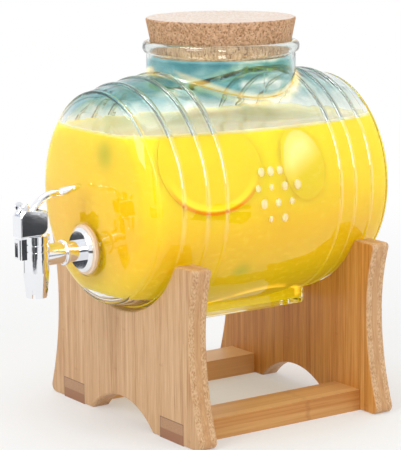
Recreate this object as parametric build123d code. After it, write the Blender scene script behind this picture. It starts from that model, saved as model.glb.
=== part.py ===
from build123d import *
import math
import os

# Drink dispenser: a glass barrel on a bamboo cradle, with a cork and a lever tap.
# Millimetres. +Z is up, the tap points to -Y, +X is on the right of someone facing the tap.
# Pieces are drawn about the middle of the stand, then moved so that the origin is on the floor
# under the middle of the whole length, tap included.

# Stand
board = 15.0                  # thickness of the bamboo
panel_gap = 135.8             # clear distance between the two panels
panel_height = 122.0          # floor to horn tops
panel_foot_half = 99.6
panel_waist_half = 85.2
panel_waist_height = 75.0
panel_horn_half = 93.2
arch_half = 40.0
arch_rise = 17.3
foot_corner_round = 5.0
horn_corner_round = 3.0
panel_edge_round = 1.5
rail_width = 28.5
rail_inset = 35.4             # foot's end to the middle of a rail

# Glass barrel
jar_axis_height = 159.5
belly_radius = 85.3           # outside, at mid length
corner_half = 102.5           # where the belly and the end dome would meet
corner_radius = 71.6
dome_rise = 6.5               # that corner to the middle of the end dome, along the barrel
shoulder_round = 18.0
glass_wall = 4.0
hoop_places = (48.0, 62.0, 79.0)
shoulder_hoop_share = 0.25    # along the shoulder's round, from the belly
hoop_round = 1.7
hoop_stand = 0.9              # height of a hoop over the glass
seat_gap = 0.3                # jar to saddle, and cork to neck

# Moulded foot under the barrel
jar_foot_half_width = 28.0
jar_foot_half_length = 60.0
jar_foot_drop = 3.2           # barrel's lowest line to the foot's underside
jar_foot_corner = 8.0
jar_foot_edge = 1.5

# Neck and rim
neck_radius = 52.6
neck_bore = 50.0
neck_offset = 4.5             # neck's axis behind the middle of the barrel
rim_radius = 55.3
rim_rise = 17.2               # barrel's top to the rim's top
rim_height = 8.5
rim_round = 3.5
mouth_round = 1.0

# Cork
cork_stand = 16.2             # rim's top to the cork's top
cork_length = 27.0
cork_top_radius = 53.0
cork_edge_round = 1.5

# Tap seat in the glass
tap_edge_gap = 18.6           # pad's edge to the lower corner of the barrel's end
pad_radius = 19.0
pad_stand = 0.3               # flat face of the pad in front of the dome
inner_pad_radius = 17.0
inner_pad_stand = 0.3         # flat inner face of the pad inside the dome
tap_hole_radius = 8.0

# Tap shank and its clamping pieces
tail_radius = 7.5
tail_length = 24.0            # behind the flange
shank_bore = 4.5
outer_gasket_radius = 17.2
outer_gasket_thick = 2.0
flange_radius = 15.3
flange_thick = 3.6
flange_lip = 1.4
flange_bevel = 2.2
shank_radius = 7.2
shank_length = 10.4           # flange to lock ring
spigot_radius = 5.6
spigot_length = 8.2           # beyond the shank's shoulder
lock_ring_radius = 8.8
lock_ring_thick = 3.2
lock_ring_round = 1.2
shank_seal_thick = 1.0
inner_gasket_radius = 14.5
inner_gasket_thick = 2.0
clamp_washer_radius = 14.0
clamp_washer_thick = 1.5
clamp_nut_across = 24.0       # across flats
clamp_nut_thick = 6.0
fixed_fit = 0.02              # round pieces that stay put
running_fit = 0.06            # round pieces that move

# Valve body
body_reach = 33.4             # flange front to the valve's axis
body_radius = 9.7
body_rise = 13.0              # tap axis to the body's top
body_drop = 10.5              # tap axis to the body's underside
collar_drop = 1.5             # tap axis down to the collar's lower edge
lower_body_radius = 8.9
band_places = (3.4, 8.2)      # grooves round the collar, over the tap axis
band_width = 1.3
band_depth = 0.7
boss_radius = 7.4
chamber_radius = 7.0
seat_drop = 5.5               # tap axis down to the valve seat
seat_bore = 4.2
nozzle_socket_radius = 7.0
nozzle_socket_depth = 3.0
lug_width = 8.0
lug_stand = 5.0
lug_drop = 1.0                # tap axis to the lug's lower edge
lug_round = 2.0

# Nozzle
nozzle_length = 17.5
nozzle_end_radius = 7.2
nozzle_end_bore = 5.6
nozzle_slot_width = 2.2
nozzle_slot_height = 6.0
nozzle_slot_count = 4

# Bonnet over the valve chamber
bonnet_plug_depth = 3.5
bonnet_flange_thick = 1.5
bonnet_neck_radius = 4.6
bonnet_neck_height = 1.6
stem_seal_thick = 1.4
stem_seal_reach = 1.4         # radial thickness of the stem seal
stem_seal_under = 1.0         # plug's underside to the stem seal

# Hood over the lever
hood_width = 12.0
hood_front = 14.0             # valve axis to the hood's front
hood_back = 7.0
hood_height = 18.6
hood_front_wall_height = 13.6
hood_front_chamfer = 4.0
hood_back_drop = 2.4          # the top falls this much towards the jar
hood_back_round = 6.5
hood_edge_round = 0.8
hood_wall = 2.4
hood_ear_radius = 3.0
hood_ear_back = 4.4           # hood front to the ears' middle
hood_ear_rise = 1.4           # hood top to the ears' middle
hood_ear_round = 1.2
hood_lever_slot_height = 14.0

# Lever and its pin
pivot_forward = 6.0           # valve axis to the pin
pivot_rise = 10.5             # hood underside to the pin
pin_radius = 1.5
hub_radius = 2.6
hub_side_gap = 0.3
toe_reach = 6.2               # pin to the trunnion that lifts the stem
toe_rest_angle = 30.0         # below level, in degrees
toe_half_width = 1.5
toe_blade_half = 1.7
trunnion_radius = 1.3
lever_thick = 4.2
lever_width = 5.0
lever_root_angle = 55.0       # above level, in degrees
lever_root_length = 9.0
lever_bend_run = 19.0         # root's end to the bend's end, level and up
lever_bend_rise = 9.0
lever_tail_run = 11.0
lever_tail_rise = 2.2
lever_edge_round = 1.5
paddle_length = 21.0
paddle_width = 9.4
paddle_thick = 4.8
paddle_reach = 7.5            # lever's centre line end to the paddle's end

# Stem, seal and spring
stem_radius = 2.5
plunger_radius = 5.8
plunger_thick = 1.6
valve_seal_radius = 5.8
valve_seal_thick = 2.0
valve_seal_gap = 0.1          # closed seal over its seat
yoke_width = 6.6
yoke_depth = 6.0
yoke_base_thick = 1.6
yoke_gap = 0.4                # yoke over the hood's floor, and beside the lever
yoke_top_wall = 1.25
trunnion_play = 0.25
spring_radius = 4.4           # to the middle of the wire
spring_wire = 0.45            # the wire's radius
spring_turns = 4.5
spring_end_gap = 0.1

overrun = 5.0                 # cutters pass this far through a face

# Places worked out from the sizes above
panel_mid = (panel_gap + board) / 2
rail_offset = panel_foot_half - rail_inset
belly_fall = belly_radius - corner_radius
belly_bend = (corner_half**2 + belly_fall**2) / (2 * belly_fall)
end_half = corner_half + dome_rise
jar_foot_height = jar_axis_height - belly_radius - jar_foot_drop
rim_top = jar_axis_height + belly_radius + rim_rise
cork_top = rim_top + cork_stand
tap_drop = corner_radius - pad_radius - tap_edge_gap
tap_height = jar_axis_height - tap_drop
pad_face = -(end_half + pad_stand)
inner_corner = corner_radius - glass_wall
inner_bend = (inner_corner**2 + dome_rise**2) / (2 * dome_rise)
inner_dome_fall = inner_bend - math.sqrt(inner_bend**2 - (tap_drop + inner_pad_radius) ** 2)
inner_seat = inner_dome_fall + inner_pad_stand + glass_wall - end_half
flange_back = pad_face - outer_gasket_thick
flange_front = flange_back - flange_thick
shank_end = flange_front - shank_length
boss_face = shank_end - lock_ring_thick
spigot_end = shank_end - spigot_length
valve_y = flange_front - body_reach
body_top = tap_height + body_rise
body_bottom = tap_height - body_drop
seat_height = tap_height - seat_drop
bonnet_under = body_top - bonnet_plug_depth
hood_bottom = body_top + bonnet_flange_thick
hood_floor = hood_bottom + bonnet_neck_height
pivot_y = valve_y - pivot_forward
pivot_z = hood_bottom + pivot_rise
toe_rest = math.radians(toe_rest_angle)
trunnion_y = pivot_y + toe_reach * math.cos(toe_rest)
trunnion_z = pivot_z - toe_reach * math.sin(toe_rest)
plunger_bottom = seat_height + valve_seal_gap + valve_seal_thick
plunger_top = plunger_bottom + plunger_thick
front_end = valve_y - max(body_radius + lug_stand, hood_front)
middle_y = (front_end + end_half) / 2


def belly_radius_at(y):
    """Outside radius of the barrel's belly at a distance from mid length."""
    return belly_radius - belly_bend + math.sqrt(belly_bend**2 - y**2)


def rod_y(radius, start, end, z=0):
    """Round bar along Y between two places."""
    return Pos(0, (start + end) / 2, z) * Rot(90, 0, 0) * Cylinder(radius, abs(end - start))


def rod_z(radius, start, end, y=0):
    """Round bar along Z between two heights."""
    return Pos(0, y, (start + end) / 2) * Cylinder(radius, abs(end - start))


def block(width, front, back, low, high):
    """Box centred on X between two places along Y and two heights."""
    size = (width, back - front, high - low)
    return Pos(0, (front + back) / 2, (low + high) / 2) * Box(*size)


def rod_x(radius, length, y, z):
    """Round bar along X, centred on the part's middle plane."""
    return Pos(0, y, z) * Rot(0, 90, 0) * Cylinder(radius, length)


def rail(side):
    """Rail along Y, as long as the stand is deep."""
    bar = Box(rail_width, panel_gap + 2 * board, board)
    return Pos(side * rail_offset, 0, board / 2) * bar


def panel_outline():
    """Face of a stand panel: arched foot, drawn-in sides and a round saddle."""
    saddle = belly_radius_at(panel_gap / 2) + seat_gap
    horn_inner = math.sqrt(saddle**2 - (jar_axis_height - panel_height) ** 2)
    with BuildSketch(Plane.XZ) as sketch:
        with BuildLine():
            for side in (1, -1):
                foot = (side * panel_foot_half, 0)
                waist = (side * panel_waist_half, panel_waist_height)
                horn = (side * panel_horn_half, panel_height)
                Line((side * arch_half, 0), foot)
                TangentArc(waist, foot, tangent=(0, -1))
                TangentArc(waist, horn, tangent=(0, 1))
                Line(horn, (side * horn_inner, panel_height))
            ThreePointArc(
                (-horn_inner, panel_height), (0, jar_axis_height - saddle), (horn_inner, panel_height)
            )
            ThreePointArc((-arch_half, 0), (0, arch_rise), (arch_half, 0))
        make_face()
        feet = sketch.vertices().filter_by(lambda v: v.Y < arch_rise and abs(v.X) > rail_offset)
        fillet(feet, foot_corner_round)
        horns = sketch.vertices().filter_by(lambda v: v.Y > panel_height - board)
        fillet(horns, horn_corner_round)
    return sketch.sketch


def panel(side):
    """Front (-1) or rear (+1) panel, notched for the rails."""
    plate = extrude(panel_outline(), amount=board / 2, both=True)
    sides = plate.faces().sort_by(Axis.Y)
    plate = fillet(sides[0].edges() + sides[-1].edges(), panel_edge_round)
    plate = Pos(0, side * panel_mid, 0) * plate
    return plate - rail(1) - rail(-1)


def barrel_half(inset):
    """Half of the barrel's long section: belly arc, round shoulders and end domes over the axis."""
    corner = (corner_half - inset, corner_radius - inset)
    with BuildSketch(Plane.YZ) as sketch:
        with BuildLine():
            ThreePointArc((-corner[0], corner[1]), (0, belly_radius - inset), corner)
            for side in (1, -1):
                tip = (side * (end_half - inset), 0)
                TangentArc(tip, (side * corner[0], corner[1]), tangent=(0, 1))
            Line((inset - end_half, 0), (end_half - inset, 0))
        make_face()
        shoulders = sketch.vertices().filter_by(lambda v: v.Y > corner_radius / 2)
        fillet(shoulders, shoulder_round - inset)
    return sketch.sketch


def hoop_circles(half):
    """Sections of the hoops: three on each side of the belly and one on each shoulder."""
    sunk = hoop_round - hoop_stand
    middles = []
    for place in hoop_places:
        middles.append((0, place, belly_radius_at(place) - sunk))
    shoulders = half.edges().filter_by(lambda e: e.geom_type == GeomType.CIRCLE)
    arc = shoulders.sort_by(lambda e: e.radius)[0]
    from_belly = shoulder_hoop_share if (arc @ 0).Z > (arc @ 1).Z else 1 - shoulder_hoop_share
    on_arc = arc @ from_belly
    inward = (arc.arc_center - on_arc).normalized()
    middle = on_arc + inward * sunk
    middles.append((0, abs(middle.Y), middle.Z))
    circles = []
    for x, y, z in middles:
        for side in (1, -1):
            circles.append(Plane((x, side * y, z), x_dir=(0, 1, 0), z_dir=(1, 0, 0)) * Circle(hoop_round))
    return circles


def jar_foot(inset):
    """Block of the moulded foot, reaching up into the barrel, or of the hollow in it."""
    half_width = jar_foot_half_width - inset
    half_length = jar_foot_half_length - inset
    top = jar_axis_height - corner_radius
    foot = block(2 * half_width, -half_length, half_length, jar_foot_height + inset, top)
    return fillet(foot.edges().filter_by(Axis.Z), jar_foot_corner - inset)


def glass_jar():
    """Barrel with hoops, foot, neck, rim and tap pad; hollow, open at the neck and at the tap."""
    half = barrel_half(0)
    to_place = Pos(0, 0, jar_axis_height)
    outside = half
    for circle in hoop_circles(half):
        outside += circle
    jar = to_place * revolve(outside, axis=Axis.Y)
    cavity = to_place * revolve(barrel_half(glass_wall), axis=Axis.Y)
    cavity -= rod_y(inner_pad_radius, pad_face, inner_seat, tap_height)
    cavity += jar_foot(glass_wall)
    foot = jar_foot(0)
    foot = fillet(foot.faces().sort_by(Axis.Z)[0].edges(), jar_foot_edge)

    rim = rod_z(rim_radius, rim_top - rim_height, rim_top, neck_offset)
    rim = fillet(rim.edges().filter_by(GeomType.CIRCLE), rim_round)
    rim -= rod_z(neck_bore, rim_top - rim_height - overrun, rim_top + overrun, neck_offset)
    mouth = rim.faces().sort_by(Axis.Z)[-1].edges().sort_by(lambda e: e.radius)[0]
    rim = fillet(mouth, mouth_round)
    jar += foot
    jar += rod_z(neck_radius, jar_axis_height, rim_top - rim_height / 2, neck_offset)
    jar += rod_y(pad_radius, pad_face, inner_seat, tap_height)
    jar -= cavity
    jar -= rod_z(neck_bore, jar_axis_height, rim_top + overrun, neck_offset)
    jar += rim
    return jar - rod_y(tap_hole_radius, pad_face - overrun, inner_seat + overrun, tap_height)


def cork_stopper():
    """Tapered cork, seated where its side meets the neck's mouth."""
    seat_radius = neck_bore - seat_gap
    taper = (cork_top_radius - seat_radius) / cork_stand
    end_radius = cork_top_radius - taper * cork_length
    cone = Cone(end_radius, cork_top_radius, cork_length)
    cone = fillet(cone.edges().filter_by(GeomType.CIRCLE), cork_edge_round)
    return Pos(0, neck_offset, cork_top - cork_length / 2) * cone


def washer_y(radius, bore, start, end):
    """Flat ring on the tap's axis."""
    return rod_y(radius, start, end, tap_height) - rod_y(bore, start - overrun, end + overrun, tap_height)


def tap_shank():
    """Hollow shank: tail through the glass, bevelled flange, neck and spigot for the valve body."""
    tail_end = flange_back + tail_length
    flange = rod_y(flange_radius, flange_front, flange_back, tap_height)
    flange = chamfer(flange.edges().sort_by(Axis.Y)[0], flange_thick - flange_lip, flange_bevel)
    shank = flange + rod_y(tail_radius, flange_back, tail_end, tap_height)
    shank += rod_y(shank_radius, shank_end, flange_front, tap_height)
    shank += rod_y(spigot_radius, spigot_end, shank_end, tap_height)
    return shank - rod_y(shank_bore, spigot_end - overrun, tail_end + overrun, tap_height)


def lock_ring():
    """Rounded ring between the shank's shoulder and the valve body's boss."""
    ring = rod_y(lock_ring_radius, boss_face, shank_end, tap_height)
    ring = fillet(ring.edges().filter_by(GeomType.CIRCLE), lock_ring_round)
    return ring - rod_y(spigot_radius + fixed_fit, boss_face - overrun, shank_end + overrun, tap_height)


def clamp_nut():
    """Hexagon nut on the tail, inside the jar."""
    start = inner_seat + inner_gasket_thick + clamp_washer_thick
    hexagon = RegularPolygon(clamp_nut_across / 2, 6, major_radius=False)
    facing = Plane((0, start, tap_height), x_dir=(1, 0, 0), z_dir=(0, 1, 0))
    nut = extrude(facing * hexagon, amount=clamp_nut_thick)
    end = start + clamp_nut_thick
    return nut - rod_y(tail_radius + fixed_fit, start - overrun, end + overrun, tap_height)


def tap_body():
    """Valve body: banded collar over a plain lower part, rear boss, front lug and valve chamber."""
    collar_low = tap_height - collar_drop
    socket_end = spigot_end - shank_seal_thick
    body = rod_z(body_radius, collar_low, body_top, valve_y)
    for place in band_places:
        low = tap_height + place
        groove = rod_z(body_radius + overrun, low, low + band_width, valve_y)
        body -= groove - rod_z(body_radius - band_depth, low, low + band_width, valve_y)
    body += rod_z(lower_body_radius, body_bottom, collar_low, valve_y)
    body += rod_y(boss_radius, valve_y, boss_face, tap_height)
    lug_low = tap_height - lug_drop
    lug = block(lug_width, valve_y - body_radius - lug_stand, valve_y, lug_low, body_top)
    front = lug.faces().sort_by(Axis.Y)[0]
    body += fillet(front.edges(), lug_round)
    body -= rod_z(chamber_radius, seat_height, body_top + overrun, valve_y)
    body -= rod_z(seat_bore, body_bottom - overrun, seat_height + overrun, valve_y)
    body -= rod_z(nozzle_socket_radius, body_bottom - overrun, body_bottom + nozzle_socket_depth, valve_y)
    body -= rod_y(spigot_radius + fixed_fit, socket_end, boss_face + overrun, tap_height)
    return body - rod_y(shank_bore, valve_y, socket_end + overrun, tap_height)


def nozzle():
    """Tapered spout with a flared bore and a slotted end."""
    end = body_bottom - nozzle_length
    middle = Pos(0, valve_y, (end + body_bottom) / 2)
    spout = middle * Cone(nozzle_end_radius, lower_body_radius, nozzle_length)
    spout += rod_z(nozzle_socket_radius - fixed_fit, body_bottom, body_bottom + nozzle_socket_depth, valve_y)
    spout -= middle * Cone(nozzle_end_bore, seat_bore, nozzle_length)
    spout -= rod_z(seat_bore, body_bottom, body_bottom + nozzle_socket_depth + overrun, valve_y)
    for turn in range(nozzle_slot_count // 2):
        slot = Box(nozzle_slot_width, 2 * lower_body_radius + overrun, nozzle_slot_height)
        angle = (turn + 1 / 2) * 360 / nozzle_slot_count
        spout -= Pos(0, valve_y, end + nozzle_slot_height / 2) * Rot(0, 0, angle) * slot
    return spout


def seal_radii():
    """Inner and outer radius of the stem seal."""
    inside = stem_radius + running_fit
    return inside, inside + stem_seal_reach


def stem_seal():
    """Ring that the stem slides through."""
    inside, outside = seal_radii()
    low = bonnet_under + stem_seal_under
    ring = rod_z(outside, low, low + stem_seal_thick, valve_y)
    return ring - rod_z(inside, low - overrun, low + overrun, valve_y)


def bonnet():
    """Cover of the valve chamber, with a guide bore, a groove for the seal and a neck for the hood."""
    cover = rod_z(chamber_radius - fixed_fit, bonnet_under, body_top, valve_y)
    cover += rod_z(body_radius, body_top, hood_bottom, valve_y)
    cover += rod_z(bonnet_neck_radius, hood_bottom, hood_floor, valve_y)
    inside, outside = seal_radii()
    low = bonnet_under + stem_seal_under
    cover -= rod_z(inside, bonnet_under - overrun, hood_floor + overrun, valve_y)
    return cover - rod_z(outside + fixed_fit, low, low + stem_seal_thick, valve_y)


def hood():
    """Chamfered hood open at the top, with two ears, that carries the lever's pin."""
    front = valve_y - hood_front
    back = valve_y + hood_back
    top = hood_bottom + hood_height
    with BuildSketch(Plane.YZ) as sketch:
        with BuildLine():
            Polyline(
                (front, hood_bottom),
                (front, hood_bottom + hood_front_wall_height),
                (front + hood_front_chamfer, top),
                (back, top - hood_back_drop),
                (back, hood_bottom),
                close=True,
            )
        make_face()
        lower_back = sketch.vertices().sort_by(lambda v: v.X - v.Y)[-1]
        fillet(lower_back, hood_back_round)
    shell = extrude(sketch.sketch, amount=hood_width / 2, both=True)
    cheeks = shell.faces().sort_by(Axis.X)
    shell = fillet(cheeks[0].edges() + cheeks[-1].edges(), hood_edge_round)
    ears = rod_x(hood_ear_radius, hood_width, front + hood_ear_back, top + hood_ear_rise)
    shell += fillet(ears.edges().filter_by(GeomType.CIRCLE), hood_ear_round)
    inside = hood_width - 2 * hood_wall
    high = top + hood_ear_rise + hood_ear_radius + overrun
    shell -= block(inside, front + hood_wall, back - hood_wall, hood_floor, high)
    shell -= block(inside, front - overrun, back - hood_wall, hood_bottom + hood_lever_slot_height, high)
    shell -= rod_z(bonnet_neck_radius + fixed_fit, hood_bottom - overrun, hood_floor, valve_y)
    return shell - rod_x(pin_radius + fixed_fit, hood_width + overrun, pivot_y, pivot_z)


def lever():
    """Curved lever with a spoon end, a hub on the pin and a toe whose trunnion lifts the stem."""
    root = math.radians(lever_root_angle)
    start = (pivot_y, pivot_z)
    rise = (start[0] + lever_root_length * math.cos(root), start[1] + lever_root_length * math.sin(root))
    bend = (rise[0] + lever_bend_run, rise[1] + lever_bend_rise)
    tip = (bend[0] + lever_tail_run, bend[1] + lever_tail_rise)
    with BuildSketch(Plane.YZ) as sketch:
        with BuildLine() as path:
            Line(start, rise)
            curve = TangentArc(rise, bend, tangent=(math.cos(root), math.sin(root)))
            TangentArc(bend, tip, tangent=curve % 1)
        trace(path.line, lever_thick)
    arm = extrude(sketch.sketch, amount=lever_width / 2, both=True)
    cheeks = arm.faces().sort_by(Axis.X)
    arm = fillet(cheeks[0].edges() + cheeks[-1].edges(), lever_edge_round)
    slope = math.degrees(math.atan2(lever_tail_rise, lever_tail_run))
    paddle = scale(Sphere(1), by=(paddle_width / 2, paddle_length / 2, paddle_thick / 2))
    arm += Pos(0, *tip) * Rot(slope, 0, 0) * Pos(0, paddle_reach - paddle_length / 2, 0) * paddle
    toe = Box(2 * toe_half_width, toe_reach, 2 * toe_blade_half)
    middle = Pos(0, (pivot_y + trunnion_y) / 2, (pivot_z + trunnion_z) / 2)
    arm += middle * Rot(-toe_rest_angle, 0, 0) * toe
    arm += rod_x(toe_blade_half, 2 * toe_half_width, trunnion_y, trunnion_z)
    arm += rod_x(trunnion_radius, yoke_width, trunnion_y, trunnion_z)
    hub_width = hood_width - 2 * hood_wall - 2 * hub_side_gap
    arm += rod_x(hub_radius, hub_width, pivot_y, pivot_z)
    return arm - rod_x(pin_radius + running_fit, hood_width, pivot_y, pivot_z)


def stem():
    """Stem with the plunger below and a slotted yoke above for the lever's trunnion."""
    yoke_bottom = hood_floor + yoke_gap
    base_top = yoke_bottom + yoke_base_thick
    slot_half = trunnion_radius + trunnion_play
    yoke_top = trunnion_z + slot_half + yoke_top_wall
    front = valve_y - yoke_depth / 2
    back = valve_y + yoke_depth / 2
    yoke = block(yoke_width, front, back, yoke_bottom, yoke_top)
    fork_gap = 2 * (toe_half_width + yoke_gap)
    yoke -= block(fork_gap, front - overrun, back + overrun, base_top, yoke_top + overrun)
    swing = toe_reach * (1 - math.cos(toe_rest))
    slot_front = trunnion_y - slot_half
    slot_back = trunnion_y + swing + slot_half
    yoke -= block(yoke_width + overrun, slot_front, slot_back, trunnion_z - slot_half, trunnion_z + slot_half)
    rod = rod_z(stem_radius, plunger_bottom, yoke_bottom, valve_y)
    rod += rod_z(plunger_radius, plunger_bottom, plunger_top, valve_y)
    return rod + yoke


def stem_spring():
    """Coil that presses the plunger down from under the bonnet."""
    low = plunger_top + spring_end_gap + spring_wire
    height = bonnet_under - spring_end_gap - spring_wire - low
    path = Helix(height / spring_turns, height, spring_radius)
    start = Plane(path @ 0, z_dir=path % 0)
    coil = sweep(start * Circle(spring_wire), path=path, is_frenet=True)
    return Pos(0, valve_y, low) * coil


def pieces():
    """Every node's name and shape."""
    washer_start = inner_seat + inner_gasket_thick
    bore = tail_radius + fixed_fit
    seal_end = spigot_end - shank_seal_thick
    return {
        "front_panel": panel(-1),
        "rear_panel": panel(1),
        "left_rail": rail(-1),
        "right_rail": rail(1),
        "glass_jar": glass_jar(),
        "cork_stopper": cork_stopper(),
        "outer_gasket": washer_y(outer_gasket_radius, bore, flange_back, pad_face),
        "inner_gasket": washer_y(inner_gasket_radius, bore, inner_seat, washer_start),
        "clamp_washer": washer_y(clamp_washer_radius, bore, washer_start, washer_start + clamp_washer_thick),
        "clamp_nut": clamp_nut(),
        "tap_shank": tap_shank(),
        "lock_ring": lock_ring(),
        "shank_seal": washer_y(spigot_radius, shank_bore, seal_end, spigot_end),
        "tap_body": tap_body(),
        "nozzle": nozzle(),
        "bonnet": bonnet(),
        "stem_seal": stem_seal(),
        "hood": hood(),
        "lever_pin": rod_x(pin_radius, hood_width, pivot_y, pivot_z),
        "lever": lever(),
        "stem": stem(),
        "valve_seal": rod_z(valve_seal_radius, seat_height + valve_seal_gap, plunger_bottom, valve_y),
        "stem_spring": stem_spring(),
    }


os.makedirs("parts", exist_ok=True)
for name, shape in pieces().items():
    export_step(Pos(0, -middle_y, 0) * shape, f"parts/{name}.step")
print("frame shift along Y", -middle_y, "lever pin at", pivot_y - middle_y, pivot_z)
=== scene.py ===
import math

import bmesh
import bpy
from mathutils import Matrix, Vector


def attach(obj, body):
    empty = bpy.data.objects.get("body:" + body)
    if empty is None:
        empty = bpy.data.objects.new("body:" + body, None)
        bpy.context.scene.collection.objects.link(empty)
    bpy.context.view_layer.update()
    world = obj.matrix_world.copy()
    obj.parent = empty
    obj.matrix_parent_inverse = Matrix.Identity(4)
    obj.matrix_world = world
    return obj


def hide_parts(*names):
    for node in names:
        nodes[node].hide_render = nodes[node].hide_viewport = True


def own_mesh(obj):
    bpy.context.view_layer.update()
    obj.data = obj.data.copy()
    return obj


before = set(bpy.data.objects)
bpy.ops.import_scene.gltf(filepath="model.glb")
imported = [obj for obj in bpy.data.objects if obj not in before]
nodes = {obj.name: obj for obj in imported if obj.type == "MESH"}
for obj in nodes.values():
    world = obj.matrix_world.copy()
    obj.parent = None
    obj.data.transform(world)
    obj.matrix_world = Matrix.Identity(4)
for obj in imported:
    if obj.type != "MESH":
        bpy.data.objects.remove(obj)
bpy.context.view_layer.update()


# Stand panels. Two boards of laminated bamboo, three plies thick, sawn to an arched foot, a drawn-in
# waist and a round saddle, then sanded and lacquered. The grain stands upright on the faces, and the
# cut edges show the ends of the fibres.
class Wire:
    """An output of a shader node. Sums, products and powers of wires add Math nodes."""

    def __init__(self, finish, socket):
        self.finish = finish
        self.socket = socket

    def maths(self, operation, *terms):
        return self.finish.node("Math", {"operation": operation}, dict(enumerate(terms)))

    def __add__(self, other):
        return self.maths("ADD", self, other)

    __radd__ = __add__

    def __sub__(self, other):
        return self.maths("SUBTRACT", self, other)

    def __rsub__(self, other):
        return self.maths("SUBTRACT", other, self)

    def __mul__(self, other):
        return self.maths("MULTIPLY", self, other)

    __rmul__ = __mul__

    def __truediv__(self, other):
        return self.maths("DIVIDE", self, other)

    def __pow__(self, other):
        return self.maths("POWER", self, other)

    def __abs__(self):
        return self.maths("ABSOLUTE", self)

    def floor(self):
        return self.maths("FLOOR", self)

    def sine(self):
        return self.maths("SINE", self)

    def between(self, low, high):
        """0 below low, 1 above high, smooth between them."""
        limits = {"Value": self, "From Min": low, "From Max": high}
        return self.finish.node("MapRange", {"interpolation_type": "SMOOTHSTEP"}, limits)


class Finish:
    """A node tree. node() adds any node: its settings first, then the values or links of its sockets."""

    def __init__(self, owner):
        owner.use_nodes = True
        self.owner = owner
        self.tree = owner.node_tree
        self.tree.nodes.clear()

    def node(self, kind, settings=None, sockets=None, output=0):
        made = self.tree.nodes.new("ShaderNode" + kind)
        for name, value in (settings or {}).items():
            if name == "stops":
                ramp = made.color_ramp.elements
                while len(ramp) < len(value):
                    ramp.new(1.0)
                for element, (place, colour) in zip(ramp, value):
                    element.position = place
                    element.color = colour
            else:
                setattr(made, name, value)
        for name, value in (sockets or {}).items():
            if isinstance(value, Wire):
                self.tree.links.new(value.socket, made.inputs[name])
            else:
                made.inputs[name].default_value = value
        return Wire(self, made.outputs[output] if len(made.outputs) else None)

    def spot(self):
        """Object coordinates."""
        return self.node("TexCoord", output="Object")

    def place(self):
        """Object coordinates, whole and as x, y and z."""
        whole = self.spot()
        return (whole, *(self.node("SeparateXYZ", None, {0: whole}, axis) for axis in "XYZ"))

    def facing(self, axis):
        """How squarely the surface faces along an axis, either way."""
        normal = self.node("TexCoord", output="Normal")
        return abs(self.node("SeparateXYZ", None, {0: normal}, axis))

    def stretched(self, whole, scale):
        """Coordinates stretched for a pattern."""
        return self.node("Mapping", None, {"Vector": whole, "Scale": scale})

    def noise(self, vector, scale, detail=3.0, roughness=0.55, distortion=0.0):
        values = {"Vector": vector, "Scale": scale, "Detail": detail, "Roughness": roughness}
        values["Distortion"] = distortion
        return self.node("TexNoise", None, values)

    def chance(self, number):
        """A value of its own for each whole number."""
        return self.node("TexWhiteNoise", {"noise_dimensions": "1D"}, {"W": number})

    def mix(self, amount, first, second):
        """A blend of two colours, which are the node's sockets 6 and 7."""
        return self.node("Mix", {"data_type": "RGBA"}, {0: amount, 6: first, 7: second}, 2)

    def ramp(self, value, *stops):
        return self.node("ValToRGB", {"stops": stops}, {0: value})

    def bump(self, height, strength, distance):
        return self.node("Bump", None, {"Height": height, "Strength": strength, "Distance": distance})

    def surface(self, shader):
        self.node("OutputMaterial", None, {"Surface": shader})
        return self.owner

    def principled(self, **sockets):
        values = {name.replace("_", " "): value for name, value in sockets.items()}
        return self.surface(self.node("BsdfPrincipled", None, values))


def material(name):
    return Finish(bpy.data.materials.new(name))


def tone(red, green, blue):
    """A colour as it looks on a screen, in 0 to 255, as the shaders take it."""
    linear = []
    for part in (red, green, blue):
        share = part / 255
        linear.append(share / 12.92 if share < 0.04045 else ((share + 0.055) / 1.055) ** 2.4)
    return (*linear, 1.0)


def dress(finish, *names):
    """Gives CAD nodes their finish."""
    for name in names:
        slots = nodes[name].data.materials
        slots.clear()
        slots.append(finish)


board = 0.015
panel_middles = {"front_panel": -0.0484, "rear_panel": 0.1024}
core_edge = (board * 0.155, board * 0.175)    # the middle ply ends between these, from its own middle
strip_width = 0.0042
strip_wander = 0.0012    # how far the joints between the strips stray
node_line = 0.0007
lowest_node = 0.004
node_spread = 0.42
fibre_ends = (tone(188, 134, 82), tone(228, 190, 146))
core_tones = (tone(186, 128, 74), tone(226, 182, 132))
broad_face = (0.5, 0.8)    # a surface that faces along an axis by more than this is a broad face
lacquer = {"Coat_Weight": 0.12, "Coat_Roughness": 0.3}
sanded = 0.42    # roughness between the fibres
fibre_rough = 0.16


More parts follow.
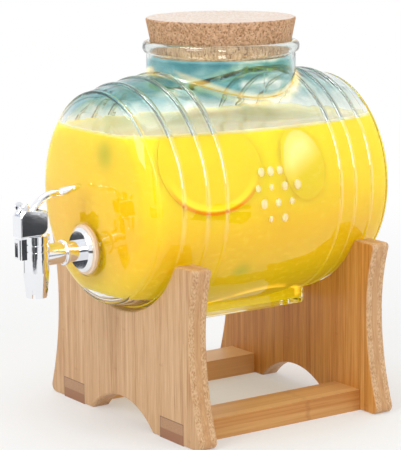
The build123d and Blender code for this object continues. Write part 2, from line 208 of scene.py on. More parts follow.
def bamboo_panel(name, middle, fineness, pale, honey, dark):
    """Upright fibres on the faces, finer where fineness is higher, and three plies on the edges."""
    look = material(name)
    whole, x, y, z = look.place()
    drift = look.noise(look.stretched(whole, (30, 30, 4)), scale=1.0, detail=2.0)
    across = (x + drift * strip_wander) / strip_width
    strip = across.floor()
    chance = look.chance(strip)
    fibre = look.noise(look.stretched(whole, (900, 900, 24)), fineness, detail=4.0, roughness=0.65)
    streak = look.noise(look.stretched(whole, (320, 320, 5)), fineness, detail=3.0, roughness=0.6)
    patch = look.noise(look.stretched(whole, (60, 60, 18)), scale=1.0, detail=2.0)
    grain = fibre * 0.6 + streak * 0.3 + chance * 0.1 + patch * 0.1
    face = look.ramp(grain, (0.36, dark), (0.53, honey), (0.7, pale))
    vein = look.noise(look.stretched(whole, (620, 620, 6)), fineness, detail=2.0).between(0.54, 0.68)
    face = look.mix(vein * 0.4, face, dark)
    joint = abs(across - strip - 0.5).between(0.44, 0.5)
    face = look.mix(joint * 0.2, face, dark)
    ring_height = chance * node_spread + lowest_node
    ring = 1 - abs(z - ring_height).between(node_line * 0.4, node_line * 2)
    face = look.mix(ring * 0.25, face, dark)

    ply = abs(y - middle).between(*core_edge)
    dots = look.node(
        "TexVoronoi", {"feature": "F1"}, {"Vector": look.stretched(whole, (1, 1, 0.55)), "Scale": 900}
    )
    speck = look.noise(look.stretched(whole, (1, 1, 0.4)), scale=1500, detail=2.0, roughness=0.7)
    wander = look.noise(whole, scale=120, detail=2.0)
    pores = (speck * 0.7 + dots * 0.25 + wander * 0.25).between(0.42, 0.75)
    ends = look.mix(pores, *fibre_ends)
    core = look.ramp(fibre * 0.5 + streak * 0.5, (0.3, core_tones[0]), (0.7, core_tones[1]))
    edge = look.mix(ply, core, ends)
    colour = look.mix(look.facing("Y").between(*broad_face), edge, face)

    height = fibre * 0.6 + joint * -0.5 + speck * 0.2
    return look.principled(
        Base_Color=colour, Roughness=sanded + fibre * fibre_rough,
        Normal=look.bump(height, strength=0.16, distance=0.0004), **lacquer,
    )


front_bamboo = bamboo_panel(
    "bamboo_front_panel", panel_middles["front_panel"], fineness=1.9,
    pale=tone(227, 190, 147), honey=tone(210, 167, 121), dark=tone(178, 124, 76),
)
rear_bamboo = bamboo_panel(
    "bamboo_rear_panel", panel_middles["rear_panel"], fineness=1.1,
    pale=tone(234, 178, 102), honey=tone(212, 148, 69), dark=tone(178, 108, 40),
)
dress(front_bamboo, "front_panel")
dress(rear_bamboo, "rear_panel")


# Rails. Two planed bamboo bars that join the panels near the floor. Each runs through a notch at the
# foot of both panels, flush with their outer faces, and is glued there.
rail_inset = 0.0642
rail_half = 0.01425
rail_strip = (0.0071, 0.0075)    # width and depth
strips_apart = 7    # added to a strip's number for each strip below it
rail_ring = 0.052
ring_edge = (0.0004, 0.003)
ring_wave = 0.006
glue_line = (0.0009, 0.0003)    # dark line round the ends, in from their edge
ply_joint = (board * 0.44, board * 0.5)


def bamboo_rail(name, side, pale):
    """Fibres along the bar and two plies on its ends, with painted light: the top is painted paler and
    the sides darker, and the higher pale is, the paler the whole bar is painted.
    """
    look = material(name)
    whole, x, y, z = look.place()
    fibre = look.noise(
        look.stretched(whole, (700, 10, 700)), scale=1.0, detail=4.0, roughness=0.65, distortion=0.3
    )
    streak = look.noise(
        look.stretched(whole, (210, 5, 210)), scale=1.0, detail=3.0, roughness=0.6, distortion=0.4
    )
    across = x - side * rail_inset
    strip = (across / rail_strip[0]).floor() + (z / rail_strip[1]).floor() * strips_apart
    grain = fibre * 0.4 + streak * 0.45 + look.chance(strip) * 0.22
    length = look.ramp(
        grain, (0.34, tone(168, 100, 40)), (0.5, tone(208, 144, 70)), (0.72, tone(236, 188, 118))
    )
    wave = look.noise(look.stretched(whole, (260, 0, 260)), scale=1.0, detail=2.0) * ring_wave
    ring = 1 - abs(y + wave - rail_ring).between(*ring_edge)
    length = look.mix(ring * 0.3, length, tone(158, 94, 44))
    # Painted light: the sides are painted darker and the top paler, as light falls from above, and pale
    # lifts the whole bar as painted light.
    length = look.mix(look.facing("X").between(*broad_face) * 0.3, length, tone(180, 108, 48))
    length = look.mix(look.facing("Z").between(*broad_face) * 0.5 + pale, length, tone(246, 204, 150))

    speck = look.noise(whole, scale=1300, detail=2.0, roughness=0.7)
    ends = look.mix(z.between(*ply_joint), tone(164, 112, 78), tone(190, 147, 109))
    ends = look.mix(speck.between(0.35, 0.65) * 0.35, ends, tone(148, 100, 70))
    rim = abs(across).between(rail_half - glue_line[0], rail_half - glue_line[1])
    lid = z.between(board - glue_line[0], board - glue_line[1])
    ends = look.mix((rim + lid) * 0.6, ends, tone(84, 50, 30))
    colour = look.mix(look.facing("Y").between(*broad_face), length, ends)
    return look.principled(
        Base_Color=colour, Roughness=sanded + fibre * fibre_rough,
        Normal=look.bump(fibre, strength=0.14, distance=0.0004), **lacquer,
    )


# The left rail is painted paler, as painted light, since it stands in shade.
dress(bamboo_rail("bamboo_left_rail_painted_paler", side=-1, pale=0.4), "left_rail")
dress(bamboo_rail("bamboo_right_rail", side=1, pale=0.0), "right_rail")


# Jar. A barrel of clear soda-lime glass, pressed with raised hoops, a foot below and a wide neck
# above. The wall is a little uneven, as pressed glass is. Above the drink it is tinted teal in patches:
# a faint green of its own, and painted light, the teal of surroundings seen through the glass, painted
# paler on one side of the neck. The root of the neck has a painted yellow glow.
jar_axis = 0.1595
jar_middle = 0.027
belly_radius = 0.0853
belly_bend = 0.39029
neck_radius = 0.0526
neck_middle = 0.0315
neck_root = 0.2267
root_reach = 0.0575
root_edge = 0.0014
cork_foot = 0.2512
hoop_offsets = (0.048, 0.062, 0.079)
hoop_edge = (0.0012, 0.0020)
hoop_gleam = (0.115, 0.175)    # heights between which the hoops begin to shine
hoop_gloss = 2.3
juice_level = 0.207
glass_ior = 1.5
dry_wall = (juice_level, juice_level + 0.02)    # each look of the wall sets in between two heights
neck_start = (neck_root - 0.006, neck_root + 0.004)
neck_stop = (cork_foot - 0.002, cork_foot)
tint_stop = (cork_foot - 0.001, cork_foot + 0.004)
rim_start = (cork_foot, cork_foot + 0.006)
# Painted light: one side of the neck is painted paler, standing in for bright surroundings seen through
# it.
painted_pale_way = (0.56, 0.83)    # the side of the neck that is paler, along x and y
painted_pale_turn = (-0.015, 0.045)
near_turn = (-0.03, 0.03)
painted_root_glow = 0.6


def clear_glass(name):
    """Glass tinted teal in patches above the drink, partly its own green and partly painted light of
    surroundings seen through it, with bright hoops below and a painted glow at the neck's root.
    """
    look = material(name)
    whole, x, y, z = look.place()
    sway = look.noise(whole, scale=26, detail=2.0, roughness=0.5)
    patch = look.noise(
        look.stretched(whole, (1, 1, 1.6)), scale=34, detail=2.0, roughness=0.5, distortion=0.8
    )
    from_neck = y - neck_middle
    dry = z.between(*dry_wall)
    in_neck = z.between(*neck_start) * (1 - z.between(*neck_stop))
    # Painted light: the teal patches and the paler side of the neck stand in for surroundings seen
    # through the glass; only a faint green is the glass's own.
    painted_pale_side = (x * painted_pale_way[0] + from_neck * painted_pale_way[1]).between(*painted_pale_turn)
    shade = look.ramp(
        patch + in_neck * (0.14 - painted_pale_side * 0.16),
        (0.39, tone(246, 251, 249)), (0.50, tone(190, 218, 216)), (0.67, tone(122, 184, 190)),
    )
    near = x.between(*near_turn) * (1 - in_neck)
    clear = look.mix(z.between(*rim_start), tone(250, 252, 248), tone(228, 234, 230))
    tinted = dry * (1 - z.between(*tint_stop)) * (1 - near * 0.55)
    tint = look.mix(tinted, clear, shade)

    # Painted glow: the glass at the root of the neck gives off a yellow light of its own, standing in for
    # the drink's light carried in the glass.
    from_axis = (x * x + from_neck * from_neck) ** 0.5
    root = from_axis.between(neck_radius - root_edge, neck_radius)
    root = root * (1 - from_axis.between(neck_radius, root_reach))
    off_belly = (x * x + (z - jar_axis) * (z - jar_axis)) ** 0.5
    root = root * (1 - off_belly.between(belly_radius, belly_radius + 0.003))
    glow = look.mix(root * patch.between(0.3, 0.5), tone(0, 0, 0), tone(240, 182, 66))
    from_middle = abs(y - jar_middle)
    hoop = sum(1 - abs(from_middle - offset).between(*hoop_edge) for offset in hoop_offsets)
    glass = look.node("BsdfPrincipled", None, {
        "Base Color": tint, "Roughness": 0.0, "IOR": glass_ior, "Transmission Weight": 1.0,
        "Coat Weight": hoop * (1 - dry) * z.between(*hoop_gleam), "Coat Roughness": 0.0,
        "Coat IOR": hoop_gloss, "Emission Color": glow, "Emission Strength": painted_root_glow,
        "Normal": look.bump(sway, strength=0.25, distance=0.004),
    })
    passing = look.node("BsdfTransparent", None, {"Color": tone(245, 250, 247)})
    shadow = look.node("LightPath", output="Is Shadow Ray")
    return look.surface(look.node("MixShader", None, {0: shadow, 1: glass, 2: passing}))


dress(clear_glass("clear_glass"), "glass_jar")


# Hoops. Above the drink the six raised rings of the barrel look broad, with light in their thick glass.
# Each gets a half-round band of glass over its top, down to the drink, and stops at the neck's wall.
hoop_half = 0.0021
hoop_stand = 0.0011
round_steps = 8
band_steps = 30
same_spot = 1e-6    # vertices nearer than this are one
soft_edge = 60    # edges that bend less than this, in degrees, are smooth


def belly_at(y, inset=0.0):
    """Radius of the barrel at a place along it."""
    return belly_radius - inset - belly_bend + math.sqrt(belly_bend**2 - (y - jar_middle) ** 2)


def thing(name, bm, finish):
    """Makes a finished mesh an object of the scene."""
    mesh = bpy.data.meshes.new(name)
    bm.to_mesh(mesh)
    bm.free()
    mesh.materials.append(finish)
    made = bpy.data.objects.new(name, mesh)
    bpy.context.scene.collection.objects.link(made)
    return made


def piece(name, bm, finish, body, sharp=35):
    """A smooth piece that rides on a body."""
    made = thing(name, bm, finish)
    made.data.shade_smooth()
    made.data.set_sharp_from_angle(angle=math.radians(sharp))
    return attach(made, body)


bm = bmesh.new()
for offset in hoop_offsets:
    for end in (-1, 1):
        y = jar_middle + end * offset
        neck_half = math.sqrt(max(neck_radius**2 - (y - neck_middle) ** 2, 0))
        neck_angle = math.asin(neck_half / belly_radius)
        wet_angle = math.acos((juice_level - jar_axis) / belly_at(y))
        centre = (0, y, jar_axis)
        seat = Vector((0, y, jar_axis + belly_at(y)))
        lean = Matrix.Rotation(-end * math.asin(offset / belly_bend), 3, "X")
        for side in (-1, 1):
            ring = []
            for step in range(round_steps + 1):
                sweep = math.pi * step / round_steps
                spot = Vector((0, -hoop_half * math.cos(sweep), hoop_stand * math.sin(sweep)))
                ring.append(bm.verts.new(seat + lean @ spot))
            edges = [bm.edges.new(pair) for pair in zip(ring, ring[1:] + ring[:1])]
            start = Matrix.Rotation(side * neck_angle, 3, "Y")
            bmesh.ops.rotate(bm, verts=ring, cent=centre, matrix=start)
            bmesh.ops.spin(
                bm, geom=ring + edges, cent=centre, axis=(0, 1, 0), dvec=(0, 0, 0), steps=band_steps,
                angle=side * (wet_angle - neck_angle),
            )
bmesh.ops.remove_doubles(bm, verts=bm.verts, dist=same_spot)
bmesh.ops.recalc_face_normals(bm, faces=bm.faces)
hoop_look = material("hoop_glass")
thick = hoop_look.noise(hoop_look.spot(), scale=60, detail=2.0)
hoop_look.principled(
    Base_Color=hoop_look.mix(thick, tone(250, 253, 252), tone(226, 240, 238)), Roughness=0.0,
    IOR=glass_ior, Transmission_Weight=0.92, Normal=hoop_look.bump(thick, strength=0.1, distance=0.002),
)
piece("hoops", bm, hoop_look.owner, "jar", soft_edge)


# Bead cluster. A pressed ornament on the side of the barrel: round drops in rows that grow shorter
# downwards. Their glass is painted whiter than the wall and glows faintly, as painted glints.
bead_radius = 0.0027
bead_shape = (0.75, 0.85, 1.15)    # outwards, along and up, as shares of the radius
bead_sizes = (1.0, 0.8, 1.1, 0.72, 0.95)
bead_rows = (    # height, middle along the barrel, beads, step
    (0.1806, 0.0140, 3, 0.0075), (0.1700, 0.0190, 4, 0.0108), (0.1592, 0.0186, 3, 0.0114),
    (0.1482, 0.0190, 2, 0.0112),
)
painted_bead_glow = 0.1


def on_belly(y, z, inset=0.0):
    """Point on the right-hand side of the barrel's wall."""
    return Vector((math.sqrt(belly_at(y, inset) ** 2 - (z - jar_axis) ** 2), y, z))


bm = bmesh.new()
for row, (row_height, row_middle, count, step) in enumerate(bead_rows):
    for bead in range(count):
        along = row_middle + (bead - (count - 1) / 2) * step
        seat = on_belly(along, row_height)
        outward = Vector((seat.x, 0, seat.z - jar_axis)).normalized()
        turn = outward.to_track_quat("X", "Z").to_matrix().to_4x4()
        swell = bead_sizes[(bead * 2 + row) % len(bead_sizes)]
        shape = Matrix.Diagonal((*(share * swell for share in bead_shape), 1.0))
        bmesh.ops.create_icosphere(
            bm, subdivisions=3, radius=bead_radius, matrix=Matrix.Translation(seat) @ turn @ shape
        )
bead_look = material("bead_glass")
bead_mottle = bead_look.noise(bead_look.spot(), scale=900, detail=2.0)
# Painted glints: the beads are painted near white and give off a faint light of their own.
bead_look.principled(
    Base_Color=bead_look.mix(bead_mottle, tone(255, 250, 228), tone(255, 238, 180)),
    Roughness=0.04 + bead_mottle * 0.06, IOR=glass_ior, Transmission_Weight=0.6,
    Normal=bead_look.bump(bead_mottle, strength=0.15, distance=0.0004),
    Emission_Color=bead_look.mix(bead_mottle, tone(255, 252, 230), tone(255, 240, 170)),
    Emission_Strength=painted_bead_glow,
)
piece("bead_cluster", bm, bead_look.owner, "jar")


# Juice. The jar is filled with cloudy orange juice to a little above its middle. The body of drink
# fits the inside of the glass and its hollow foot, with a level top that climbs the wall at its rim.
# At the tap's end it ends above a thick bottom of clear glass. Two mint leaves show as soft green spots.
juice_inset = 0.0036
# Painted light: strength of the yellow glow that the drink and its slices give off.
painted_juice_glow = 0.3
darker_to_brighter = (0.086, 0.190)    # heights over which the drink goes from darker at the bottom to brighter at the top
tap_end = (-0.082, -0.058)    # the drink is painted darker orange before these places, as painted shade at the tap's end
leaves = (((0.021, -0.0765, 0.1925), 0.024), ((0.066, 0.0, 0.113), 0.017))    # place and reach
leaf_middle = 0.004
leaf_blur = 0.012
reflection_start = (juice_level - 0.0025, juice_level - 0.0012)
reflection_turn = (-0.05, 0.02)    # the top's painted reflection is orange before these places and grey behind them
foot_half = (0.0244, 0.0564, 0.008)
foot_corner = 0.0044
foot_floor = 0.0746
front_floor = (0.076, 0.096)    # height of the drink's underside, rising towards the tap's end
front_slope = (-0.030, -0.042)    # between these places along the barrel
meniscus = ((0.0008, 0.0006), (0.0018, 0.0005))    # inwards and down, from the wall
end_half = 0.109
corner_half = 0.1025
corner_radius = 0.0716
shoulder_round = 0.018
belly_steps, shoulder_steps, dome_steps, barrel_steps = 26, 12, 16, 96


def whole_mesh(bm):
    return list(bm.verts) + list(bm.edges) + list(bm.faces)


def arc_between(bm, vert, centre, end, steps):
    """Draws an arc in the plane of Y and Z from a vertex to a point, and returns its last vertex."""
    start = vert.co - centre
    goal = end - centre
    angle = math.atan2(goal.z, goal.y) - math.atan2(start.z, start.y)
    made = bmesh.ops.spin(
        bm, geom=[vert], cent=centre, axis=(1, 0, 0), dvec=(0, 0, 0), angle=angle, steps=steps
    )
    return made["geom_last"][0]


def barrel_body(inset):
    """A solid barrel that fits inside the jar, inset from its outside."""
    corner = Vector((0, corner_half - inset, corner_radius - inset))
    top = belly_radius - inset
    tip = end_half - inset
    fall = top - corner.z
    belly_bow = (corner.y**2 + fall**2) / (2 * fall)
    dome_fall = tip - corner.y
    dome_bow = (corner.z**2 + dome_fall**2) / (2 * dome_fall)
    belly_centre = Vector((0, 0, top - belly_bow))
    dome_centre = Vector((0, tip - dome_bow, 0))
    small = shoulder_round - inset
    from_belly = belly_bow - small
    from_dome = dome_bow - small
    apart = dome_centre - belly_centre
    reach = (from_belly**2 - from_dome**2 + apart.length**2) / (2 * apart.length)
    off = math.sqrt(from_belly**2 - reach**2)
    along = apart.normalized()
    side = Vector((0, along.z, -along.y))
    round_centre = belly_centre + along * reach + side * off
    belly_end = belly_centre + (round_centre - belly_centre).normalized() * belly_bow
    dome_end = dome_centre + (round_centre - dome_centre).normalized() * dome_bow
    bm = bmesh.new()
    last = bm.verts.new((0, 0, top))
    last = arc_between(bm, last, belly_centre, belly_end, belly_steps)
    last = arc_between(bm, last, round_centre, dome_end, shoulder_steps)
    arc_between(bm, last, dome_centre, Vector((0, tip, 0)), dome_steps)
    bmesh.ops.mirror(bm, geom=whole_mesh(bm), axis="Y", merge_dist=1e-7)
    bmesh.ops.spin(
        bm, geom=whole_mesh(bm), cent=(0, 0, 0), axis=(0, 1, 0), dvec=(0, 0, 0), angle=2 * math.pi,
        steps=barrel_steps, use_merge=True,
    )
    bmesh.ops.remove_doubles(bm, verts=bm.verts, dist=same_spot)
    bmesh.ops.recalc_face_normals(bm, faces=bm.faces)
    bmesh.ops.translate(bm, verts=bm.verts, vec=(0, jar_middle, jar_axis))
    return bm


def cut_above(bm, height):
    """Cuts off what stands above a height."""
    return bmesh.ops.bisect_plane(
        bm, geom=whole_mesh(bm), plane_co=(0, 0, height), plane_no=(0, 0, 1), clear_outer=True
    )


def cloudy(look, whole, y, z):
    """The drink's colour, darker at the bottom and brighter at the top, its painted glow, strongest at
    the bottom, its clouds and its pulp.
    """
    cloud = look.noise(
        look.stretched(whole, (1, 1, 1.4)), scale=22, detail=4.0, roughness=0.55, distortion=0.4
    )
    pulp = look.noise(look.stretched(whole, (1, 1, 2.2)), scale=160, detail=3.0, roughness=0.6)
    rise = z.between(*darker_to_brighter)
    colour = look.ramp(
        rise + (cloud - 0.5) * 0.28,
        (0.0, tone(206, 180, 16)), (0.22, tone(232, 193, 16)), (0.5, tone(240, 200, 18)),
        (0.7, tone(243, 209, 20)), (0.92, tone(246, 221, 22)),
    )
    # Painted shade: towards the tap's end the drink is painted darker orange.
    colour = look.mix((1 - y.between(*tap_end)) * 0.3, colour, tone(240, 178, 18))
    colour = look.mix(pulp.between(0.52, 0.72) * 0.25, colour, tone(255, 232, 92))
    # Painted glow: the drink gives off a yellow light of its own, strongest at the bottom, where it would
    # lie in shade.
    light = look.ramp(
        rise, (0.0, tone(236, 210, 10)), (0.35, tone(190, 156, 8)), (1.0, tone(126, 102, 6))
    )
    return colour, light, cloud, pulp


def drink(look, colour, light, rough, bumps, depth=1.0):
    """Finishes a look as cloudy juice, which light enters deeply unless depth is 0, and gives it a
    painted glow.
    """
    return look.principled(
        Base_Color=colour, Roughness=rough, Specular_IOR_Level=0.05,
        Subsurface_Weight=depth, Subsurface_Radius=(1.0, 0.7, 0.25), Subsurface_Scale=0.03,
        Emission_Color=light, Emission_Strength=painted_juice_glow, Normal=bumps,
    )


def juice_finish(name):
    """The drink, with its leaves and its top painted paler, as a painted reflection."""
    look = material(name)
    whole, _, y, z = look.place()
    colour, light, cloud, pulp = cloudy(look, whole, y, z)
    for leaf, reach in leaves:
        off = look.node("VectorMath", {"operation": "DISTANCE"}, {0: whole, 1: leaf}, "Value")
        green = 1 - (off + cloud * leaf_blur).between(leaf_middle, reach)
        colour = look.mix(green * 0.6, colour, tone(150, 170, 20))
    # Painted reflection: the drink's top is painted cream to grey, standing in for the room seen in its
    # surface.
    top = z.between(*reflection_start)
    painted_top_reflection = look.ramp(
        cloud, (0.3, tone(226, 196, 128)), (0.55, tone(232, 218, 172)), (0.75, tone(240, 236, 212))
    )
    painted_top_reflection = look.mix((1 - y.between(*reflection_turn)) * 0.85, painted_top_reflection, tone(250, 204, 104))
    colour = look.mix(top, colour, painted_top_reflection)
    rough = (0.16 + pulp * 0.12) * (1 - top * 0.6)
    return drink(look, colour, light, rough, look.bump(cloud, strength=0.1, distance=0.003))


bm = bmesh.new()
bmesh.ops.create_cube(bm, size=2.0)
bmesh.ops.scale(bm, vec=foot_half, verts=bm.verts)
upright = [edge for edge in bm.edges if abs(edge.verts[0].co.z - edge.verts[1].co.z) > foot_half[2]]
bmesh.ops.bevel(
    bm, geom=upright, offset=foot_corner, segments=6, profile=0.5, affect="EDGES", material=-1
)
bmesh.ops.translate(bm, verts=bm.verts, vec=(0, jar_middle, foot_floor + foot_half[2]))
foot_mesh = bpy.data.meshes.new("juice_foot")
bm.to_mesh(foot_mesh)
bm.free()

bm = barrel_body(juice_inset)
for vert in bm.verts:
    share = (vert.co.y - front_slope[0]) / (front_slope[1] - front_slope[0])
    if share > 0:
        lowest = front_floor[0] + (front_floor[1] - front_floor[0]) * min(share, 1)
        vert.co.z = max(vert.co.z, lowest)
cut = cut_above(bm, juice_level)
rim = [item for item in cut["geom_cut"] if isinstance(item, bmesh.types.BMEdge)]
for inward, drop in meniscus:
    ring = bmesh.ops.extrude_edge_only(bm, edges=rim)["geom"]
    rim = [item for item in ring if isinstance(item, bmesh.types.BMEdge)]
    for vert in ring:
        if isinstance(vert, bmesh.types.BMVert):
            spoke = Vector((vert.co.x, vert.co.y - jar_middle, 0))
            vert.co -= spoke.normalized() * inward + Vector((0, 0, drop))
bmesh.ops.edgeloop_fill(bm, edges=rim)
bm.from_mesh(foot_mesh)
bmesh.ops.recalc_face_normals(bm, faces=bm.faces)
piece("juice", bm, juice_finish("juice"), "jar")


# Fruit. A wheel of orange and a wheel of lemon rest against the wall of the jar. Each is a thin slice
# that takes the curve of the glass and is half lost in the cloudy juice.
slice_thick = 0.0012
slice_sunk = 0.0016
slice_proud = 0.0002    # how far a slice stands out of the drink
slice_shade = 0.14
slice_sides = 56
fruit_segments = 10
orange_place, orange_half = (-0.0277, 0.1865), (0.0366, 0.0318)    # along the barrel and up
lemon_place, lemon_half, lemon_tilt = (0.0440, 0.1815), (0.0178, 0.0238), 0.25


def wall_slice(name, middle, half, finish, rings, tilt=0.0):
    """A thin oval slice against the jar's inner wall, with insets for its rind and pith."""
    bm = bmesh.new()
    bmesh.ops.create_circle(bm, cap_ends=True, cap_tris=False, segments=slice_sides, radius=1.0)
    disc = list(bm.faces)
    for ring in rings:
        bmesh.ops.inset_region(bm, faces=disc, thickness=ring, use_even_offset=True)
    bmesh.ops.poke(bm, faces=disc)
    bmesh.ops.subdivide_edges(bm, edges=bm.edges, cuts=2, use_grid_fill=True)
    turn = Matrix.Rotation(tilt, 3, "Z")
    for vert in bm.verts:
        flat = turn @ Vector((vert.co.x * half[0], vert.co.y * half[1], 0))
        vert.co = on_belly(middle[0] + flat.x, middle[1] + flat.y, juice_inset - slice_proud)
    cut_above(bm, juice_level - slice_sunk)
    bmesh.ops.recalc_face_normals(bm, faces=bm.faces)
    bmesh.ops.solidify(bm, geom=list(bm.faces), thickness=slice_thick)
    return piece(name, bm, finish, "jar", soft_edge)


def citrus(name, middle, half, rind, pith, flesh, clear_side, haze):
    """Rind, pith and flesh parted by pale walls. The slice is clearest towards clear_side, given as y, z
    and a bias, and haze hides its edge."""
    look = material(name)
    whole, _, y, z = look.place()
    colour, light, _, pulp = cloudy(look, whole, y, z)
    across = (y - middle[0]) / half[0]
    up = (z - middle[1]) / half[1]
    out = (across * across + up * up) ** 0.5
    angle = look.node("Math", {"operation": "ARCTAN2"}, {0: up, 1: across})
    wall = abs((angle * (fruit_segments / 2)).sine()).between(0.0, 0.3)
    wheel = look.mix((1 - wall) * 0.35, look.mix(pulp * 0.3, flesh, pith), pith)
    wheel = look.mix(out.between(0.76, 0.84), wheel, pith)
    clear = (across * clear_side[0] + up * clear_side[1] + clear_side[2]).between(-0.5, 0.9)
    wheel = look.mix(out.between(0.90, 0.96) * clear, wheel, rind)
    colour = look.mix(slice_shade, colour, tone(0, 0, 0))
    colour = look.mix(clear * (1 - out.between(0.5, 0.98) * haze), colour, wheel)
    bumps = look.bump(pulp, strength=0.1, distance=0.001)
    return drink(look, colour, light, 0.2 + pulp * 0.1, bumps, depth=0.0)


# The orange's rind line is partly its rind and partly painted shadow: dark orange-red, it shows only
# along the slice's lower edge.
orange_look = citrus(
    "orange_slice", orange_place, orange_half, rind=tone(228, 134, 14), pith=tone(252, 232, 44),
    flesh=tone(238, 204, 20), clear_side=(0.0, -1.4, -0.4), haze=0.0,
)
wall_slice("orange_slice", orange_place, orange_half, orange_look, rings=(0.06, 0.08))
lemon_look = citrus(
    "lemon_slice", lemon_place, lemon_half, rind=tone(250, 226, 60), pith=tone(255, 244, 180),
    flesh=tone(254, 240, 150), clear_side=(-0.6, 1.5, 0.0), haze=0.7,
)
wall_slice("lemon_slice", lemon_place, lemon_half, lemon_look, rings=(0.07, 0.09), tilt=lemon_tilt)


# Gaskets and seals. Pale, slightly see-through silicone rings seal the tap on both sides of the glass,
# and black rubber rings seal its shank, stem and valve. They are moulded, and dull from handling.
def rubbery(name, colour, dusty, rough):
    """Dull rubber, mottled with a dusty tone."""
    look = material(name)
    dust = look.noise(look.spot(), scale=420, detail=3.0, roughness=0.6)
    return look.principled(
        Base_Color=look.mix(dust * 0.35, colour, dusty), Roughness=rough + dust * 0.12,
        Normal=look.bump(dust, strength=0.1, distance=0.0004),
    )


silicone = rubbery("silicone", tone(243, 214, 184), dusty=tone(255, 238, 220), rough=0.4)
dress(silicone, "outer_gasket", "inner_gasket")
black_rubber = rubbery("black_rubber", tone(32, 32, 34), dusty=tone(60, 60, 62), rough=0.5)
dress(black_rubber, "shank_seal", "stem_seal", "valve_seal")


# Tap. Cast and turned brass, polished and chromium plated: a flanged shank, a lock ring, a banded
# valve body with its spout, a hood and a curved lever on a cross pin. The nut and washer that clamp
# it inside the jar, and the valve's stem, are plain steel.
def plated(name, colour, rough):
    """Bright metal with faint smears and fine polishing lines."""
    look = material(name)
    whole = look.spot()
    smear = look.noise(whole, scale=90, detail=3.0, roughness=0.6)
    fine = look.noise(look.stretched(whole, (1, 1, 8)), scale=420, detail=2.0, roughness=0.6)
    shade = look.mix(smear * 0.3, colour, tone(218, 221, 226))
    return look.principled(
        Base_Color=shade, Metallic=1.0, Roughness=rough + smear * 0.05 + fine * 0.03,
        Normal=look.bump(smear, strength=0.03, distance=0.001),
    )


chrome = plated("chrome", tone(246, 247, 250), rough=0.02)
dress(chrome, "tap_shank", "lock_ring", "tap_body", "nozzle", "bonnet", "hood", "lever", "lever_pin")
steel = plated("steel", tone(196, 198, 200), rough=0.2)
dress(steel, "clamp_washer", "clamp_nut", "stem")


# Valve spring. A coil of steel wire round the stem, inside the valve body. In the tap the rising stem
# presses it up against the bonnet, so it grows shorter from below; here it is a fixed copy of the CAD
# coil that rides with the jar.
bm = bmesh.new()
bm.from_mesh(nodes["stem_spring"].data)
bm.transform(nodes["stem_spring"].matrix_world)
bmesh.ops.remove_doubles(bm, verts=bm.verts, dist=same_spot)
spring = piece("valve_spring", bm, steel, "jar", soft_edge)
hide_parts("stem_spring")
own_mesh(spring)


# Stopper. A tapered plug of agglomerated cork: ground cork pressed with a binder, sanded smooth, with
# a paler top.
cork_crumbs = 780    # crumbs in a metre
cork_top = (0.75, 0.95)    # a surface that faces up by more than this is the top


def cork_finish(name):
    """Crumbs of several tones with dark flecks, paler on top."""
    look = material(name)
    whole = look.spot()
    crumbs = {"Vector": whole, "Scale": cork_crumbs}
    crumb = look.node("TexVoronoi", {"feature": "F1"}, crumbs, "Color")
    chance = look.node("SeparateColor", None, {0: crumb})
    edges = look.node("TexVoronoi", {"feature": "DISTANCE_TO_EDGE"}, crumbs, "Distance")
    fine = look.noise(whole, scale=1300, detail=3.0, roughness=0.65)
    coarse = look.noise(whole, scale=240, detail=3.0, roughness=0.6)
    side = look.ramp(
        chance * 0.35 + fine * 0.45 + coarse * 0.25,
        (0.3, tone(166, 118, 82)), (0.45, tone(206, 160, 120)), (0.6, tone(222, 178, 140)),
        (0.8, tone(238, 200, 164)),
    )
    fleck = look.noise(whole, scale=820, detail=2.0, roughness=0.5).between(0.59, 0.66)
    side = look.mix(fleck * 0.75, side, tone(112, 74, 48))
    top = look.ramp(
        chance * 0.4 + fine * 0.6,
        (0.3, tone(230, 207, 189)), (0.5, tone(247, 231, 219)), (0.75, tone(252, 243, 235)),
    )
    colour = look.mix(look.facing("Z").between(*cork_top), side, top)
    height = edges.between(0.0, 0.12) * 0.5 + fine * 0.5 - fleck * 0.6
    return look.principled(
        Base_Color=colour, Roughness=0.8 + fine * 0.15, Specular_IOR_Level=0.3,
        Normal=look.bump(height, strength=0.4, distance=0.0006),
    )


dress(cork_finish("cork"), "cork_stopper")


# Studio. A white paper floor in a soft white room, both bright to the camera, in reflections and
# through glass. The floor is darker near the object, so that it keeps the object's shadow.
floor_radius = 6.0
near_fade = (0.06, 0.2)    # distances from the middle over which the floor grows brighter
far_fade = (0.3, 0.9)
floor_shine, near_shine, far_shine = 0.25, 0.37, 0.38
room_light = 0.66
white = (1, 1, 1, 1)


def looked_at(look):
    """1 for what the camera sees, straight or in shiny things or through glass, and 0 for plain light."""
    kinds = ("Is Camera Ray", "Is Glossy Ray", "Is Transmission Ray")
    return sum(look.node("LightPath", output=kind) for kind in kinds).between(0.0, 1.0)


floor_look = material("studio_floor")
plane, east, north, _ = floor_look.place()
grain = floor_look.noise(plane, scale=300, detail=2.0)
paper = floor_look.node("BsdfPrincipled", None, {
    "Base Color": floor_look.mix(grain, tone(240, 240, 240), tone(246, 246, 246)), "Roughness": 0.9,
    "Specular IOR Level": 0.0,
})
bright = floor_look.node("Emission", None, {"Color": white, "Strength": 1.0})
from_middle = (east * east + (north - jar_middle) * (north - jar_middle)) ** 0.5
far = from_middle.between(*far_fade) * far_shine + from_middle.between(*near_fade) * near_shine
share = looked_at(floor_look) * (floor_shine + far)
floor_look.surface(floor_look.node("MixShader", None, {0: share, 1: paper, 2: bright}))
bm = bmesh.new()
bmesh.ops.create_circle(bm, cap_ends=True, segments=96, radius=floor_radius)
floor = thing("floor", bm, floor_look.owner)

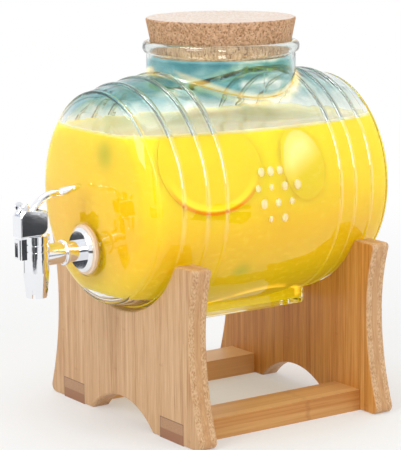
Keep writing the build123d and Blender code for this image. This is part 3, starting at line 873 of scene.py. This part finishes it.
world = bpy.data.worlds.new("studio")
bpy.context.scene.world = world
room = Finish(world)
light = room.node("Background", None, {"Color": white, "Strength": room_light})
backdrop = room.node("Background", None, {"Color": white, "Strength": 1.0})
lit_room = room.node("MixShader", None, {0: looked_at(room), 1: light, 2: backdrop})
room.node("OutputWorld", None, {"Surface": lit_room})


# Lamps. Soft boxes on stands: a broad key light from the front, a fill on the right and one above.
# Two more show only in the shine of glass and metal.
def lamp(name, place, size, watts, mirrored=True, lit=True):
    """A soft box aimed at the jar. Shiny things show it if mirrored, and it lights dull ones if lit."""
    data = bpy.data.lights.new(name, "AREA")
    data.shape = "RECTANGLE"
    data.size, data.size_y = size
    data.energy = watts
    made = bpy.data.objects.new(name, data)
    made.location = place
    made.rotation_euler = (studio_aim - Vector(place)).to_track_quat("-Z", "Y").to_euler()
    made.visible_glossy = mirrored
    made.visible_diffuse = lit
    bpy.context.scene.collection.objects.link(made)


studio_aim = Vector((0.0, 0.03, 0.14))
lamp("key", (0.35, -1.5, 1.2), size=(0.7, 0.9), watts=9)
lamp("fill", (1.5, 0.6, 0.9), size=(0.6, 1.0), watts=5, mirrored=False)
lamp("top", (-0.2, 0.2, 1.7), size=(0.9, 0.9), watts=4)
lamp("side_sparkle", (1.2, -0.75, 0.80), size=(0.32, 0.8), watts=11, lit=False)
lamp("top_sparkle", (-0.3, -0.3, 1.4), size=(0.6, 0.3), watts=8, lit=False)


# Cards. Dark felt cards round the object, cut into slats, which give bright metal its dark stripes.
# They show only in reflections.
card_look = material("dark_card")
room_place = card_look.spot()
felt = card_look.noise(room_place, scale=60, detail=2.0)
slats = card_look.noise(card_look.stretched(room_place, (1, 1, 0)), scale=24, detail=1.0)
card_look.principled(
    Base_Color=card_look.mix(felt, tone(44, 46, 51), tone(60, 63, 70)), Roughness=0.9,
    Alpha=slats.between(0.36, 0.42),
)


def dark_card(name, place, size, turn=0.0):
    """A card that faces the object, turned in its own plane."""
    bm = bmesh.new()
    facing = (studio_aim - Vector(place)).to_track_quat("Z", "Y").to_matrix().to_4x4()
    seat = Matrix.Translation(place) @ facing @ Matrix.Rotation(turn, 4, "Z")
    bmesh.ops.create_grid(
        bm, x_segments=2, y_segments=2, size=0.5, matrix=seat @ Matrix.Diagonal((*size, 1, 1))
    )
    card = thing(name, bm, card_look.owner)
    card.visible_camera = False
    card.visible_diffuse = False
    card.visible_shadow = False
    card.visible_transmission = False


dark_card("card_behind_camera", (1.5, -1.0, 0.5), size=(1.0, 0.8))
dark_card("card_low", (0.50, -0.42, 0.055), size=(0.6, 0.11))
dark_card("card_front", (-0.45, -0.36, 0.020), size=(0.07, 0.036))
dark_card("card_side", (0.36, 0.075, 0.056), size=(0.13, 0.05), turn=0.28)
dark_card("card_lever", (0.36, 0.095, 0.106), size=(0.09, 0.03), turn=0.28)


# Camera. It stands where the photograph was taken, to the right of the tap and a little above the
# cork, with a long lens.
camera_place = Vector((1.1465, -0.7652, 0.3926))
camera_yaw, camera_pitch, camera_roll = (math.radians(turn) for turn in (55.84, 10.67, -0.54))
forward = Vector((
    -math.sin(camera_yaw) * math.cos(camera_pitch),
    math.cos(camera_yaw) * math.cos(camera_pitch),
    -math.sin(camera_pitch),
))
level = Vector((math.cos(camera_yaw), math.sin(camera_yaw), 0))
right = level * math.cos(camera_roll) + level.cross(forward) * math.sin(camera_roll)
above = right.cross(forward)
camera_data = bpy.data.cameras.new("camera")
camera_data.sensor_width = 36.0
camera_data.lens = 159.04
camera = bpy.data.objects.new("camera", camera_data)
camera.matrix_world = Matrix((
    (right.x, above.x, -forward.x, camera_place.x),
    (right.y, above.y, -forward.y, camera_place.y),
    (right.z, above.z, -forward.z, camera_place.z),
    (0, 0, 0, 1),
))
bpy.context.scene.collection.objects.link(camera)
bpy.context.scene.camera = camera
bpy.context.scene.view_settings.view_transform = "Standard"
